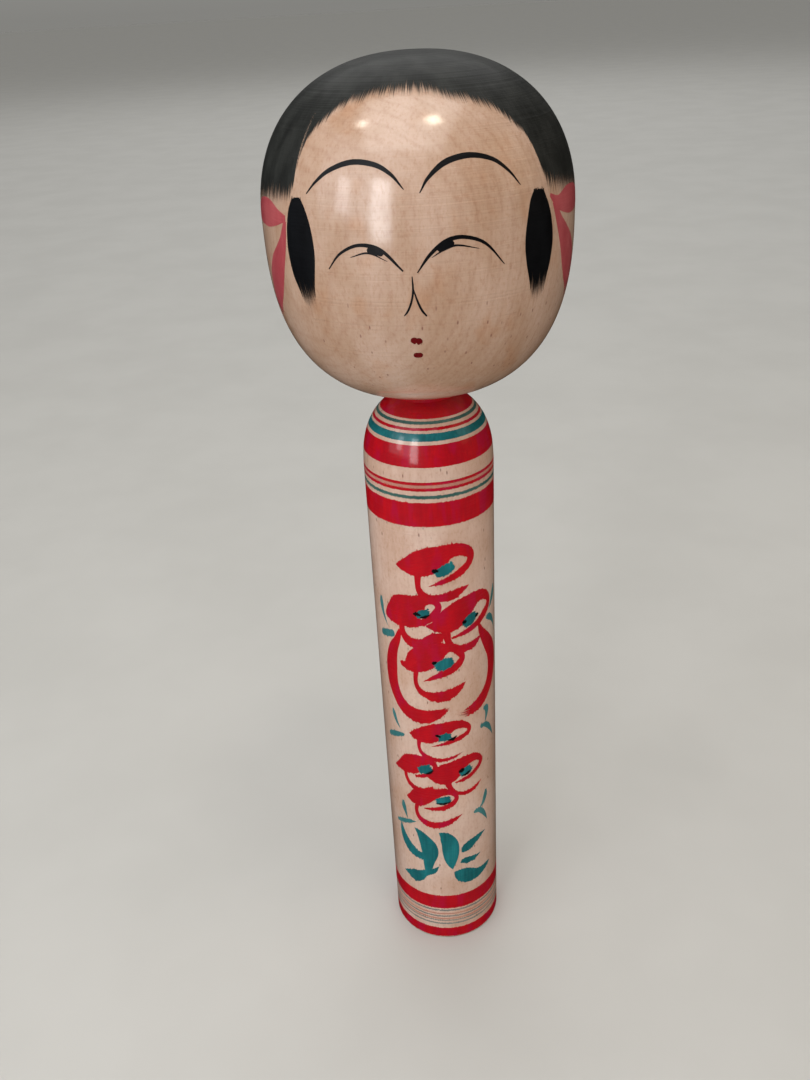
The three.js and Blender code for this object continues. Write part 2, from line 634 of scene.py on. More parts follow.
@dataclass
class Brush:
    """Lays strokes on a surface as thin closed films.

    The pitches are the film's grid along and across the stroke. The creep is how far the dye
    runs along the fibres at the stroke's edges, and the teeth are the bristles at a ragged end.
    """

    surface: Surface
    lift: float = LIFT
    lift_step: float = 0.004
    depth: float = 0.07
    weld: float = 0.002
    least_rows: int = 10
    row_pitch: float = 0.2
    column_pitch: float = 0.55
    creep: float = 0.8
    teeth_per_mm: float = 1.9
    teeth_bias: float = 0.35

    def paint(self, piece: Piece, material: bpy.types.Material, strokes: Sequence[Stroke]) -> None:
        """Lay strokes as one named piece, each a little above the one before.

        Args:
            piece: The new piece. The length of its name picks the pattern of the dye's creep.
            material: The dye or the ink.
            strokes: The strokes, first laid first.
        """
        mesh, seed = piece.mesh, float(len(piece.name))
        chart = mesh.verts.layers.float_vector.new("brush")
        under = mesh.verts.layers.float_vector.new("wood_under")
        for number, stroke in enumerate(strokes):
            lift = self.lift + number * self.lift_step
            film = self._film(mesh, stroke, (chart, under), lift, seed + number)
            bmesh.ops.remove_doubles(mesh, verts=film, dist=self.weld * MM)
            faces = {face for vert in film if vert.is_valid for face in vert.link_faces}
            shell = bmesh.ops.solidify(mesh, geom=list(faces), thickness=self.depth * MM)["geom"]
            for vert in shell:
                if isinstance(vert, bmesh.types.BMVert):
                    angle = math.degrees(math.atan2(vert[under].x, -vert[under].y))
                    vert.co = on_surface(self.surface, angle, vert[under].z, -self.depth) * MM
        mesh.verts.layers.float_vector.remove(under)
        piece.done(material)

    def _film(
        self,
        mesh: bmesh.types.BMesh,
        stroke: Stroke,
        layers: tuple[bmesh.types.BMLayerItem, bmesh.types.BMLayerItem],
        lift: float,
        seed: float,
    ) -> list[bmesh.types.BMVert]:
        """Lay one stroke as an open sheet.

        Args:
            mesh: The mesh that takes the sheet.
            stroke: The stroke.
            layers: The layer that keeps (along, across, dryness) at each point, and the layer
                that keeps the point of the wood under it, in millimetres.
            lift: Height of the sheet off the wood.
            seed: Picks the pattern of the dye's creep.

        Returns:
            The sheet's points.
        """
        middle = stroke.stations[len(stroke.stations) // 2][1]
        scale = math.radians(self.surface.radius_at(middle))
        steps = list(zip(stroke.stations, stroke.stations[1:]))
        length = sum(math.hypot((b[0] - a[0]) * scale, b[1] - a[1]) for a, b in steps)
        rows = max(self.least_rows, round(length / self.row_pitch))
        widest = max(width for _, _, width in stroke.stations)
        columns = max(2, round(widest / self.column_pitch))
        path = smooth_path(stroke.stations, scale, rows)
        spine = [on_surface(self.surface, angle, height) for angle, height, _ in path]
        made = bmesh.ops.create_grid(mesh, x_segments=rows, y_segments=columns, size=1.0)["verts"]
        for vert in made:
            row = grid_line(vert.co.x, rows)
            across = vert.co.y
            angle, height, width = path[row]
            tangent = spine[min(row + 1, rows)] - spine[max(row - 1, 0)]
            outward, upward = self.surface.facing(height)
            normal = spoke(angle) * outward + Vector((0.0, 0.0, upward))
            side = normal.cross(tangent).normalized()
            reach = across * width / 2 * self._end_shape(stroke, row / rows * length, length, width)
            point = spine[row] + side * reach
            ragged = {0: -stroke.ragged_start, rows: stroke.ragged_end}.get(row, 0.0)
            if ragged:
                teeth = noise.noise(Vector((across * width * self.teeth_per_mm, seed, 3.0)))
                point += tangent.normalized() * ragged * (teeth + self.teeth_bias)
            angle = math.degrees(math.atan2(point.x, -point.y))
            height = point.z
            on_edge = abs(across) > 0.99
            if on_edge:
                away = math.copysign(side.z, side.z * across) if side.z else 0.0
                height += away * self.creep * bleed(angle, height, seed) * min(width, 1.0)
            vert.co = on_surface(self.surface, angle, height, lift) * MM
            vert[layers[0]] = (row / rows * length, reach + seed * 7.0, stroke.dryness(row / rows))
            vert[layers[1]] = on_surface(self.surface, angle, height)
        return made

    @staticmethod
    def _end_shape(stroke: Stroke, along: float, length: float, width: float) -> float:
        """Return the share of the width that is left by the rounding of an end."""
        cap = max(width / 2, 0.2)
        share = 1.0
        if stroke.round_start and along < cap:
            share = min(share, math.sqrt(max(1 - (1 - along / cap) ** 2, 0.0)))
        if stroke.round_end and length - along < cap:
            share = min(share, math.sqrt(max(1 - (1 - (length - along) / cap) ** 2, 0.0)))
        return share


@dataclass(frozen=True)
class Band:
    """A band painted round the post while it turned, between two heights."""

    low: float
    high: float

    def lay(self, piece: Piece, surface: PostSurface, seed: float) -> None:
        """Add the band to a piece as a thin closed ring.

        Args:
            piece: The piece that takes the ring.
            surface: The post's surface, under it.
            seed: Picks the pattern of the dye's creep.
        """
        depth, curve_start = 0.05, surface.shoulder.base
        creep = 0.14 if self.low > curve_start else 0.45
        pitch = 0.45 if self.low > curve_start + 3 else 1.8
        rows = max(2, round((self.high - self.low) / pitch))
        heights = [self.low + (self.high - self.low) * i / rows for i in range(rows)] + [self.high]
        section = [(height, LIFT) for height in heights]
        section += [(height, -depth) for height in reversed(heights)]
        grid = bmesh.ops.create_grid(
            piece.mesh, x_segments=FILM_COLUMNS, y_segments=len(section), size=1.0
        )["verts"]
        for vert in grid:
            angle = 360 * (grid_line(vert.co.x, FILM_COLUMNS) % FILM_COLUMNS) / FILM_COLUMNS - 180
            height, off = section[grid_line(vert.co.y, len(section)) % len(section)]
            if height == self.low:
                height -= creep * bleed(angle, self.low, seed)
            elif height == self.high:
                height += creep * bleed(angle, self.high, seed + 5.0)
            vert.co = on_surface(surface, angle, height, off) * MM
        bmesh.ops.remove_doubles(piece.mesh, verts=grid, dist=SAME_POINT)


# ---- finishes of this doll ------------------------------------------------------------


class Palette:
    """The doll's finishes, each made once."""

    def __init__(self) -> None:
        """Make every material."""
        red, bright_red, magenta = (0.46, 0.0, 0.010), (0.66, 0.0, 0.009), (0.52, 0.0, 0.036)
        teal, bright_teal = (0.005, 0.12, 0.135), (0.014, 0.25, 0.275)
        ink, worn_ink = (0.002, 0.002, 0.003), (0.006, 0.007, 0.009)
        # The hair's two ink colours are greyer than the black ink: partly worn ink, partly a
        # painted sheen that stands in for light reflected off the hair.
        grey_ink_and_painted_sheen, rubbed_ink_and_painted_sheen = (0.011, 0.012, 0.011), (0.036, 0.038, 0.035)
        # The post's pale and tan wood colours are lighter than the head's. That extra paleness is
        # painted light, standing in for more light falling on the post; the grain itself is the
        # wood's own.
        self.body_wood = WoodFinish(
            "waxed_body_wood_painted_paler", pale=(0.86, 0.63, 0.52), tan=(0.75, 0.50, 0.38), patch_strength=0.16
        ).material()
        self.head_wood = WoodFinish(
            "waxed_head_wood",
            pith=(34.0, 30.0),
            ring_strength=0.15,
            fleck_share=0.22,
            fleck_top=256.0,
        ).material()
        self.red = PaintFinish("red_dye", red, bright_red, magenta).material()
        self.red_brush = PaintFinish(
            "brushed_red_dye", red, bright_red, magenta, Grain.BRUSH, runs_dry=True
        ).material()
        self.pink = PaintFinish(
            "thinned_red_dye", (0.56, 0.24, 0.18), (0.64, 0.34, 0.25)
        ).material()
        self.green = PaintFinish("green_dye", teal, bright_teal, roughness=0.42).material()
        self.thinned = PaintFinish(
            "thinned_green_dye", (0.03, 0.18, 0.19), (0.09, 0.30, 0.31)
        ).material()
        self.worn = PaintFinish("worn_green_dye", (0.03, 0.11, 0.10), (0.09, 0.20, 0.17)).material()
        self.faded = PaintFinish(
            "faded_green_dye", (0.20, 0.22, 0.20), (0.32, 0.31, 0.28)
        ).material()
        self.black = PaintFinish(
            "black_ink", ink, worn_ink, None, Grain.BRUSH, 0.45, 0.1, shine=0.3, runs_dry=True
        ).material()
        # The hair's lighter base colours hold a painted sheen as well as worn ink.
        self.hair = PaintFinish(
            "hair_ink_with_painted_sheen",
            grey_ink_and_painted_sheen,
            rubbed_ink_and_painted_sheen,
            grain=Grain.MERIDIAN,
            roughness=0.50,
            coat=0.04,
            shine=0.30,
            runs_dry=True,
        ).material()
        self.lips = PaintFinish("lip_red", (0.13, 0.0, 0.002), (0.20, 0.001, 0.004)).material()
        self.ribbon = PaintFinish(
            "ribbon_red", (0.44, 0.06, 0.075), (0.58, 0.13, 0.14), None, Grain.BRUSH, runs_dry=True
        ).material()


# ---- the post -------------------------------------------------------------------------


@dataclass
class Post:
    """The turned body: foot, post, shoulder, neck and tenon, with everything painted on it."""

    palette: Palette
    foot_radius: float = 19.4
    foot_edge: float = 0.8
    dish_radius: float = 13.0
    dish_depth: float = 1.0
    dish_slope: float = 1.5
    shoulder_start: float = 189.3
    shoulder_height: float = 23.6
    shoulder_power: float = 2.44
    neck_radius: float = 9.0
    neck_length: float = 2.45
    tenon_radius: float = 6.5
    tenon_length: float = 20.0
    tenon_chamfer: float = 1.0
    steps: int = 192

    def __post_init__(self) -> None:
        """Take the post's outer sizes from the frame."""
        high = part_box("body")[1]
        self.tenon_top = high.z / MM
        self.neck_top = self.tenon_top - self.tenon_length
        shoulder = RoundedEnd(
            self.shoulder_start, high.x / MM, self.shoulder_height, self.shoulder_power
        )
        self.surface = PostSurface(
            self.foot_radius, shoulder, self.neck_radius, self.neck_top - self.neck_length
        )

    def wood(self) -> None:
        """Turn the wood itself, in place of the plain body."""
        dish = [(0.0, self.dish_depth), (self.dish_radius, self.dish_depth)]
        dish.append((self.dish_radius + self.dish_slope, 0.0))
        corners = [i / 6 * math.pi / 2 for i in range(7)]
        edge = [
            (
                self.foot_radius - self.foot_edge * (1 - math.sin(turn)),
                self.foot_edge * (1 - math.cos(turn)),
            )
            for turn in corners
        ]
        shoulder = self.surface.shoulder.profile(self.surface.neck_start, 40)
        tenon = [
            (self.neck_radius, self.neck_top),
            (self.tenon_radius, self.neck_top),
            (self.tenon_radius, self.tenon_top - self.tenon_chamfer),
            (self.tenon_radius - self.tenon_chamfer, self.tenon_top),
            (0.0, self.tenon_top),
        ]
        piece = Piece("body_wood", "body", "body_wood")
        piece.turn(dish + edge + shoulder + tenon, self.steps)
        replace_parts(piece.done(self.palette.body_wood), "body")

    def bands(self) -> None:
        """Paint the bands on the shoulder and above the foot."""
        red, pink, faded = self.palette.red, self.palette.pink, self.palette.faded
        shoulder_red = (
            Band(208.4, self.neck_top - 0.1),
            Band(205.7, 206.3),
            Band(195.7, 201.9),
            Band(190.2, 191.1),
            Band(188.4, 189.2),
            Band(176.8, 184.4),
        )
        shoulder_green = (Band(207.2, 207.8), Band(186.0, 186.7))
        base_green = (Band(14.5, 14.9), Band(11.4, 11.8), Band(9.2, 9.5), Band(7.5, 7.9))
        groups = (
            ("shoulder_bands_red", "red_dye", red, shoulder_red),
            ("shoulder_band_pink", "red_dye", pink, (Band(189.2, 190.2),)),
            ("shoulder_band_green", "green_dye", self.palette.green, (Band(203.0, 204.9),)),
            ("shoulder_lines_green", "green_dye", self.palette.worn, shoulder_green),
            ("base_bands_red", "red_dye", red, (Band(15.9, 22.2), Band(0.9, 5.1))),
            ("base_lines_pink", "red_dye", pink, (Band(10.0, 10.6), Band(12.7, 13.1))),
            ("base_lines_green", "green_dye", faded, base_green),
        )
        for number, (name, slot, material, bands) in enumerate(groups):
            piece = Piece(name, "body", slot)
            for band_number, band in enumerate(bands):
                band.lay(piece, self.surface, seed=number * 10.0 + band_number)
            piece.done(material)

    def build(self) -> None:
        """Build the wood, the bands, the flowers and the leaves."""
        self.wood()
        self.bands()
        red, black = self.palette.red_brush, self.palette.black
        green, thinned = self.palette.green, self.palette.thinned
        broad, raised = Brush(self.surface), Brush(self.surface, lift=0.05)
        heart_brush = Brush(self.surface, lift=0.10, column_pitch=0.2)
        speck_brush = Brush(self.surface, lift=0.14, column_pitch=0.2)
        marks = (
            (raised, "upper_flowers_red", "red_dye", red, UPPER_FLOWERS),
            (broad, "ring_strokes_red", "red_dye", red, RING_STROKES),
            (broad, "lower_flowers_red", "red_dye", red, LOWER_FLOWERS),
            (heart_brush, "flower_hearts_green", "green_dye", green, FLOWER_HEARTS),
            (speck_brush, "flower_specks_black", "black_ink", black, FLOWER_SPECKS),
            (broad, "sprigs_left", "green_dye", thinned, LEFT_SPRIGS),
            (broad, "sprigs_right", "green_dye", thinned, RIGHT_SPRIGS),
            (broad, "leaf_spray_left", "green_dye", green, LEFT_LEAVES),
            (broad, "leaf_spray_right", "green_dye", green, RIGHT_LEAVES),
        )
        for brush, name, slot, material, strokes in marks:
            brush.paint(Piece(name, "body", slot), material, strokes)


UPPER_FLOWERS = (
    # Top flower: petal, then the stem and the cup under it.
    Stroke((
        (-35, 162.5, 0), (-28, 162.7, 3.7), (-18, 163.2, 7.5), (-6, 164.6, 9), (3, 165.8, 8.5),
        (13, 167.6, 5), (23, 167.8, 4), (31, 166.6, 3.4), (35.5, 164.6, 2.7), (33, 162, 2.3),
        (24, 159.7, 2.4), (12, 157.9, 1.7), (-5, 156, 0),
    )),
    Stroke((
        (-14, 161, 2.4), (-14.5, 157, 1.8), (-13.5, 154.6, 1.9), (-9, 152.4, 2.5), (0, 151.7, 2.2),
        (9, 151.7, 2.6), (17, 152.2, 3), (25, 153.3, 1.8), (33, 154.4, 0),
    )),
    # Left flower.
    Stroke((
        (-52, 142.2, 2), (-47, 142.9, 5), (-40, 144, 8.4), (-32, 145.7, 11), (-24, 147.5, 10.2),
        (-17, 149.3, 7), (-11, 150.8, 4), (-4, 151.1, 2.8), (1.5, 149.9, 2.1), (3, 148.2, 2.1),
        (0, 146.2, 2.4), (-5, 144.3, 2.4), (-14, 142.5, 2), (-28, 140.8, 1.3),
    ), round_start=True),
    Stroke((
        (-33, 140.8, 2), (-32, 138, 2.2), (-28, 135.8, 2.8), (-21, 134.5, 3.2), (-12, 134.8, 3.5),
        (-3, 136.4, 4.4), (2, 137.2, 3.8), (5.4, 138.6, 0.8),
    )),
    # Right flower.
    Stroke((
        (-9, 141.5, 0), (-1, 141.5, 3.8), (7, 142.2, 7.5), (15, 143.6, 9), (23, 145.6, 8.6),
        (32, 147.4, 6.8), (42, 148.8, 4.2), (52, 148, 3.1), (59, 145.4, 2.1), (58, 143, 2.2),
        (51, 140.9, 2.5), (42, 139, 2.1), (30, 137.6, 1.6), (14, 136.3, 0.4),
    )),
    Stroke((
        (9, 140, 3), (9.6, 138, 2.7), (11.4, 135, 2), (16, 132.9, 1.9), (25, 131.5, 2.3),
        (34, 131.5, 2.5), (41, 132.4, 1.6), (47, 134, 0),
    )),
    # Middle flower.
    Stroke((
        (-37, 126, 0.3), (-31, 125.4, 3), (-24, 126.4, 6.5), (-17, 128.2, 8.8), (-9, 130, 9),
        (-1, 131.4, 7.2), (6, 132.6, 4.6), (13, 132.9, 2.8), (20, 131, 2.5), (24, 128.4, 2),
        (21, 126.3, 2.3), (13, 124.2, 2.5), (2, 122.6, 1.9), (-14, 120, 0),
    )),
    Stroke((
        (-20, 125, 1.8), (-21.5, 121, 1.5), (-20.5, 117.8, 1.5), (-15, 115.3, 2), (-5, 114, 3.1),
        (4, 114, 3.8), (13, 114.9, 3.3), (20, 116.3, 2.2), (27, 118.2, 0),
    )),
)

RING_STROKES = (
    Stroke((
        (-35, 138.5, 1.2), (-39, 134.5, 2.4), (-45.5, 129.5, 4), (-49, 123, 5.2), (-49, 117, 5),
        (-45, 112.2, 4.6), (-37, 108.1, 4.7), (-27, 106, 5.1), (-17, 105.4, 5.2), (-8, 106, 4.4),
        (1, 107.3, 2.9), (11, 109.2, 0),
    ), dry_from=0.93),
    Stroke((
        (44, 138, 1), (48, 134.5, 2.6), (56, 129.8, 4.6), (64, 124.5, 5.6), (66, 119, 5.8),
        (62, 113.6, 5.2), (54, 110, 4.6), (44, 107.3, 4.4), (33, 105.9, 3.4), (24, 105.5, 2.2),
        (16, 106.2, 0.8),
    ), dry_from=0.8),
)

LOWER_FLOWERS = (
    # Top flower.
    Stroke((
        (-32, 97.2, 0), (-26, 97.3, 3.4), (-17, 97.7, 6.4), (-7, 98.8, 7), (3, 100.1, 5.8),
        (13, 101.4, 3.8), (22, 101.2, 2.7), (29, 99.4, 1.8), (29, 97.6, 1.5), (23, 96.2, 1.5),
        (10, 94.8, 1.2), (-10, 93, 0),
    )),
    Stroke((
        (-21.5, 95, 1.6), (-22, 92.5, 1.2), (-20, 90.2, 1.3), (-15, 88.6, 1.6), (-6, 87.4, 1.3),
        (4, 87.3, 1), (14, 88.2, 0.8), (23, 89.6, 0),
    ), dry_from=0.75),
    # Left flower.
    Stroke((
        (-54, 79.6, 0.4), (-48, 80.4, 2.8), (-40, 81.8, 6), (-32, 83.6, 7.8), (-24, 85.3, 6.2),
        (-16, 86.4, 3.8), (-10, 86.2, 2.3), (-6.5, 84.2, 1.7), (-9, 82, 1.6), (-16, 80.2, 1.3),
        (-28, 78.7, 0.7),
    )),
    Stroke((
        (-39.5, 80, 1.5), (-39, 77, 1.4), (-35, 74.6, 1.6), (-28, 73, 1.8), (-20, 73.1, 1.6),
        (-9, 74.4, 1.4),
    )),
    # Right flower.
    Stroke((
        (-16, 79.9, 0), (-10, 80.2, 4.4), (-2, 80.4, 7.6), (6, 81.2, 8.6), (14, 82.9, 7),
        (22, 84.6, 4.8), (30, 85.4, 3.6), (38, 84.8, 2.5), (43.5, 82.8, 1.8), (42, 81, 1.6),
        (36, 79.2, 1.5), (27, 77.6, 1.3), (13, 76.6, 0.3),
    )),
    Stroke((
        (5, 77.8, 2.6), (7.5, 74.8, 1.9), (13, 72.3, 1.4), (21, 71, 1.3), (30, 71, 1.4),
        (37, 72, 1), (44, 73.6, 0),
    )),
    # Bottom flower.
    Stroke((
        (-40, 68, 0.3), (-34, 68.2, 4.2), (-27, 69, 6.8), (-19, 70.4, 6.2), (-10, 71.8, 4.4),
        (-1, 72.8, 2.9), (7, 72.6, 2), (13, 71, 1.7), (13.5, 69, 1.6), (8, 66.9, 1.8),
        (-2, 65.4, 1.5), (-20, 64.8, 0.3),
    )),
    Stroke((
        (-27.5, 66.5, 1.6), (-29, 63, 1.4), (-26, 60, 1.7), (-18, 58, 2.2), (-9, 57.4, 2.5),
        (0, 58, 2.2), (9, 59.4, 1.6), (20, 61.6, 0),
    )),
)


def dab(*stations: Station) -> Stroke:
    """Return a short dab of the brush with ragged ends."""
    return Stroke(stations, ragged_start=0.9, ragged_end=0.9)


FLOWER_HEARTS = (
    dab((2.5, 160.2, 2), (6, 160.8, 3), (14, 162.1, 3.1), (17.5, 162.8, 2)),
    dab((-17, 145.3, 1.6), (-12, 146, 2.4), (-6.5, 146.9, 1.6)),
    dab((27.5, 140, 2.2), (31, 140.9, 3.4), (36, 142, 3.4), (39.5, 142.8, 2)),
    dab((-1, 125.7, 2.4), (3, 126.3, 3.5), (10, 127.3, 3.5), (14, 127.8, 2.2)),
    dab((-1, 96.8, 1.9), (4, 97, 2.6), (9.5, 97.4, 1.8)),
    dab((-23, 82, 1.9), (-17, 82.7, 3), (-11.5, 83.8, 2)),
    dab((19.5, 79.8, 2.2), (25, 80.5, 3.2), (30, 81.5, 2.2)),
    dab((-6, 68.8, 1.9), (0, 69.1, 2.8), (6.5, 69.6, 1.9)),
)

FLOWER_SPECKS = (
    Stroke(((-1.5, 161.5, 0.4), (1, 161.5, 1.1), (4.5, 161.4, 0.4))),
    Stroke(((-20.5, 145.7, 0.2), (-17, 145.8, 0.8), (-13, 145.4, 0.3))),
    Stroke(((-14, 144.6, 0.2), (-9, 145, 0.6), (-5, 145.8, 0.2))),
    Stroke(((25, 141.4, 0.4), (27, 141.3, 1), (29.5, 141.5, 0.3))),
    Stroke(((39, 141.8, 0.3), (41, 142, 0.9), (43, 142.6, 0.3))),
    Stroke(((-5, 127.4, 0.3), (-3, 127.5, 0.9), (-0.5, 127.9, 0.3))),
    Stroke(((-5, 98, 0.2), (-2.5, 97.8, 0.7), (0.5, 97.3, 0.3))),
    Stroke(((7, 95.7, 0.2), (12, 96, 0.7), (16, 97, 0.3))),
    Stroke(((-16, 80.9, 0.3), (-12, 81.6, 0.7), (-8.5, 82.8, 0.3))),
    Stroke(((17, 81, 0.4), (20, 81.4, 1), (23, 81.8, 0.4))),
    Stroke(((20, 79, 0.3), (25, 79.3, 0.7), (30, 80.4, 0.3))),
    Stroke(((-7, 67.8, 0.2), (0, 67.6, 0.6), (8, 68.4, 0.2))),
)

LEFT_SPRIGS = (
    Stroke((
        (-58.5, 148, 0.8), (-58.5, 145.5, 1.9), (-57, 142.5, 1.3), (-53, 139.3, 0.5),
        (-50, 137.6, 0),
    )),
    Stroke((
        (-62, 133.6, 1.6), (-52, 134.9, 2.2), (-42, 136.2, 1.6),
    ), round_start=True, round_end=True),
    Stroke(((-52, 104.4, 0.6), (-50.5, 102.4, 1.6), (-47.5, 99.8, 1.1), (-43, 97.4, 0))),
    Stroke(((-62, 91.8, 1.2), (-52, 93.6, 1.8), (-38, 95.6, 0.5)), round_start=True),
    Stroke(((-46, 64.6, 0.8), (-45.5, 62, 2), (-43.5, 59.4, 1.1), (-41, 56.8, 0))),
    Stroke(((-58, 53, 1), (-48, 54.6, 1.4), (-38, 56.2, 1.1), (-30, 57.2, 0)), round_start=True),
)

RIGHT_SPRIGS = (
    Stroke(((73, 148, 0.8), (71, 145.8, 2.2), (66, 143, 1.4), (60, 140.8, 0))),
    Stroke((
        (55, 138.6, 1.2), (61, 138, 2), (67, 136, 1.5), (72, 132.6, 0.6), (73, 130, 0),
    ), round_start=True),
    Stroke(((49, 103.6, 1), (54, 102.6, 2.2), (54, 100, 1.4), (51, 97, 0)), round_start=True),
    Stroke(((44, 96.8, 0.8), (52, 96, 1.8), (60, 92.8, 1.5), (67, 88, 0)), round_start=True),
    Stroke(((51, 67.2, 0.8), (50, 64.8, 2), (46, 62.2, 1.3), (40, 60.2, 0))),
    Stroke(((33, 60.2, 0.8), (40, 60, 1.8), (47, 57, 1.5), (53, 52.4, 0)), round_start=True),
)

LEFT_LEAVES = (
    Stroke((
        (-52, 53.5, 0), (-50.5, 50, 2), (-47, 46.5, 3.4), (-41, 43.6, 4), (-33, 41.6, 3.6),
        (-22, 41, 2.4),
    )),
    Stroke((
        (-33, 54, 0), (-27, 52.2, 2.6), (-21.5, 49.4, 5), (-17.5, 46.4, 6.4), (-16.5, 43.4, 6.2),
        (-18, 39.8, 4.6), (-19, 36.6, 3.4), (-19.5, 33, 2.2),
    )),
    Stroke(((-20, 33.6, 2), (-13, 34.8, 1.8), (-7, 37.4, 0))),
    Stroke((
        (-51, 29.4, 0), (-44, 29.6, 2.6), (-37, 29.7, 5), (-30, 30.8, 4.4), (-24, 32.6, 2.8),
        (-18, 33.6, 1.6),
    )),
)

RIGHT_LEAVES = (
    Stroke((
        (-6, 53.8, 0), (0, 52, 4), (5, 48.6, 6), (6, 44.6, 6.2), (6, 41, 5), (6.4, 38, 2.8),
        (7.4, 35.6, 0),
    )),
    Stroke((
        (8.6, 34, 0), (12, 33.3, 3.4), (18, 32, 6), (26, 30.7, 6), (34, 30, 4.6), (42, 30.2, 3.2),
        (49, 30.8, 1.8), (56, 31.6, 0),
    )),
    Stroke((
        (17.4, 43.2, 0), (21, 44.4, 3), (27, 45.8, 3.6), (34, 47, 2.6), (41, 47.9, 1.4),
        (49, 48.6, 0),
    )),
    Stroke(((15.5, 38.2, 0), (20, 38.8, 2.2), (27, 38.6, 2.4), (34, 38.6, 1.3), (41, 39.4, 0))),
)


# ---- the head -------------------------------------------------------------------------


@dataclass
class Head:
    """The turned head with its socket, its hair, its face and its ribbons."""

    palette: Palette
    jaw_depth: float = 49.6
    jaw_power: float = 2.63
    crown_power: float = 2.28
    widest: float = 49.2
    socket_radius: float = 6.8
    socket_depth: float = 20.7
    drill_tip: float = 2.0
    steps: int = 192

    def __post_init__(self) -> None:
        """Take the head's outer sizes from the frame."""
        low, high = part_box("head")
        self.seat = low.z / MM
        self.top = high.z / MM
        radius = high.x / MM
        base = self.seat + self.widest
        self.surface = HeadSurface(
            crown=RoundedEnd(base, radius, self.top - base, self.crown_power),
            jaw=RoundedEnd(base, radius, -self.jaw_depth, self.jaw_power),
        )

    def wood(self) -> None:
        """Turn the wood itself, in place of the plain head."""
        socket = [
            (0.0, self.seat + self.socket_depth + self.drill_tip),
            (self.socket_radius, self.seat + self.socket_depth),
            (self.socket_radius, self.seat),
        ]
        jaw = self.surface.jaw.profile(self.seat, 48)[::-1]
        crown = self.surface.crown.profile(self.top, 60)[1:]
        piece = Piece("head_wood", "head", "head_wood")
        piece.turn(socket + jaw + crown, self.steps)
        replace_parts(piece.done(self.palette.head_wood), "head")

    def hairline(self, angle: float) -> tuple[float, float]:
        """Return where the solid hair ends at an angle, and how far its bristles reach on.

        Args:
            angle: Degrees from the front.

        Returns:
            The height of the hair's edge and the bristles' length, in millimetres.
        """
        points = HAIRLINE_RIGHT if angle >= 0 else HAIRLINE_LEFT
        turn = abs(angle)
        for (a0, h0, b0), (a1, h1, b1) in zip(points, points[1:]):
            if turn <= a1:
                share = (turn - a0) / (a1 - a0)
                return h0 + (h1 - h0) * share, b0 + (b1 - b0) * share
        return points[-1][1], points[-1][2]

    def hair(self) -> None:
        """Ink the hair over the crown, down to its bristly edge."""
        piece = Piece("hair_cap", "head", "black_ink")
        mesh = piece.mesh
        chart = mesh.verts.layers.float_vector.new("brush")
        crown, columns, rows = self.surface.crown, FILM_COLUMNS, 56
        least_slant, wet_share, thickness, weld = 0.3, 0.55, 0.07, 0.003
        outline = []
        for column in range(columns):
            angle = -180 + 360 * column / columns
            edge, reach = self.hairline(angle)
            low = max(edge - reach * max(crown.facing(edge)[0], least_slant), crown.base + 0.5)
            turn = math.asin(crown.share(low) ** (crown.power / 2))
            outline.append((angle, edge, low, reach, turn))
        grid = bmesh.ops.create_grid(mesh, x_segments=columns, y_segments=rows, size=1.0)["verts"]
        for vert in grid:
            column = grid_line(vert.co.x, columns) % columns
            share = (1 - vert.co.y) / 2
            angle, edge, low, reach, turn = outline[column]
            here = math.pi / 2 + (turn - math.pi / 2) * share
            height = crown.base + crown.length * math.sin(here) ** (2 / crown.power)
            if share < 1e-6:
                height = self.top
            wet = edge + reach * wet_share
            dry = min(max((wet - height) / (wet - low), 0.0), 1.0)
            vert.co = on_surface(self.surface, angle, height, LIFT) * MM
            vert[chart] = (height, angle, dry)
        bmesh.ops.remove_doubles(mesh, verts=mesh.verts, dist=weld * MM)
        bmesh.ops.recalc_face_normals(mesh, faces=mesh.faces)
        if sum(face.normal.z for face in mesh.faces) < 0:
            bmesh.ops.reverse_faces(mesh, faces=mesh.faces)
        bmesh.ops.solidify(mesh, geom=mesh.faces[:], thickness=thickness * MM)
        piece.done(self.palette.hair)

    def build(self) -> None:
        """Build the wood, the hair, the face and the ribbons."""
        self.wood()
        self.hair()
        fine = Brush(self.surface, column_pitch=0.3, creep=0.05)
        ribbon_brush = Brush(self.surface, column_pitch=0.3, creep=0.12)
        for name, strokes in FACE_STROKES.items():
            fine.paint(Piece(name, "head", "black_ink"), self.palette.black, strokes)
        fine.paint(Piece("lips", "head", "red_dye"), self.palette.lips, LIP_STROKES)
        for name, strokes in RIBBON_STROKES.items():
            ribbon_brush.paint(Piece(name, "head", "red_dye"), self.palette.ribbon, strokes)


# (angle from the front, height of the hair's edge, reach of its bristles)
HAIRLINE_RIGHT = (
    (0, 296.8, 4.5), (11, 296.1, 4.5), (20, 294.9, 4.5), (28, 293.7, 4.5), (35, 292.1, 4),
    (39, 290, 4), (42, 288.2, 3.5), (44.5, 286.4, 3), (46, 283.6, 1.5), (47.2, 280.6, 1.5),
    (48.2, 278.2, 3), (50, 276.2, 5.5), (60, 275, 6.5), (73, 273.8, 6.5), (100, 271, 6.5),
    (140, 268.5, 6), (180, 268, 6),
)
HAIRLINE_LEFT = (
    (0, 296.8, 4.5), (12, 296.6, 4.5), (21, 296, 4.5), (29, 295, 4.5), (35.5, 293.6, 4),
    (38, 292.1, 4), (41.6, 290, 3.5), (44.8, 287.2, 3), (45.8, 284.2, 1.5), (46.3, 281.3, 1.5),
    (47, 278, 3), (49, 276.4, 5.5), (60, 276, 7), (75, 275, 7), (100, 271.5, 6.5), (140, 268.5, 6),
    (180, 268, 6),
)

